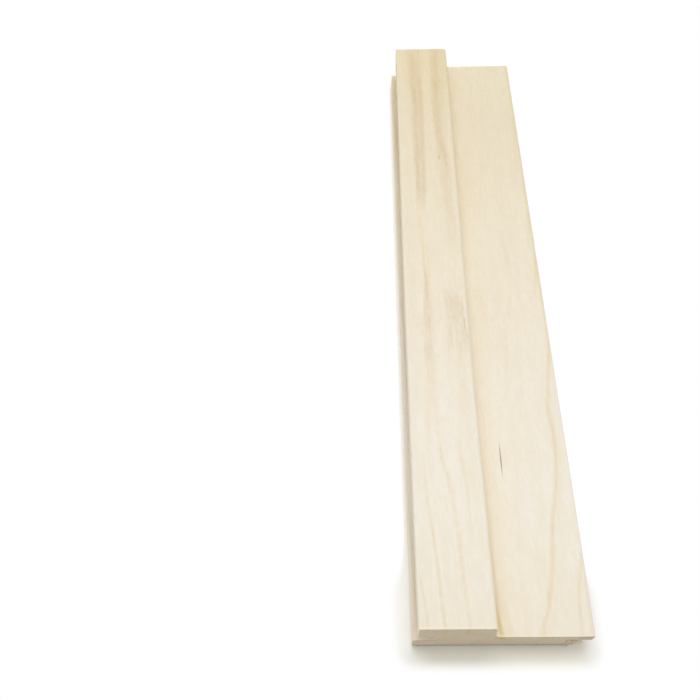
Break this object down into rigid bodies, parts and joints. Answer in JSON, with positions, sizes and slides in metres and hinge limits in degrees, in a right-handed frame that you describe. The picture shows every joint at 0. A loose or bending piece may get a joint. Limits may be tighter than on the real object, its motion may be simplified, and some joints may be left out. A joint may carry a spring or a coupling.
{
  "type": "tongue and groove cladding board",
  "caption": "Short length of solid wood cladding with a raised block on one edge, a low flat, and a tongue and groove that join it to the next board.",
  "frame": {"origin": "under the middle of the board, in the plane of its flat back", "axes": "+X across the board from the groove edge to the tongue edge, +Y along its length, +Z out of the back through the face"},
  "size_m": [0.071, 0.34, 0.027],
  "materials": {
    "planed_wood": "planed, unfinished"
  },
  "bodies": {
    "root": {"cladding_board": "planed_wood"}
  },
  "joints": []
}
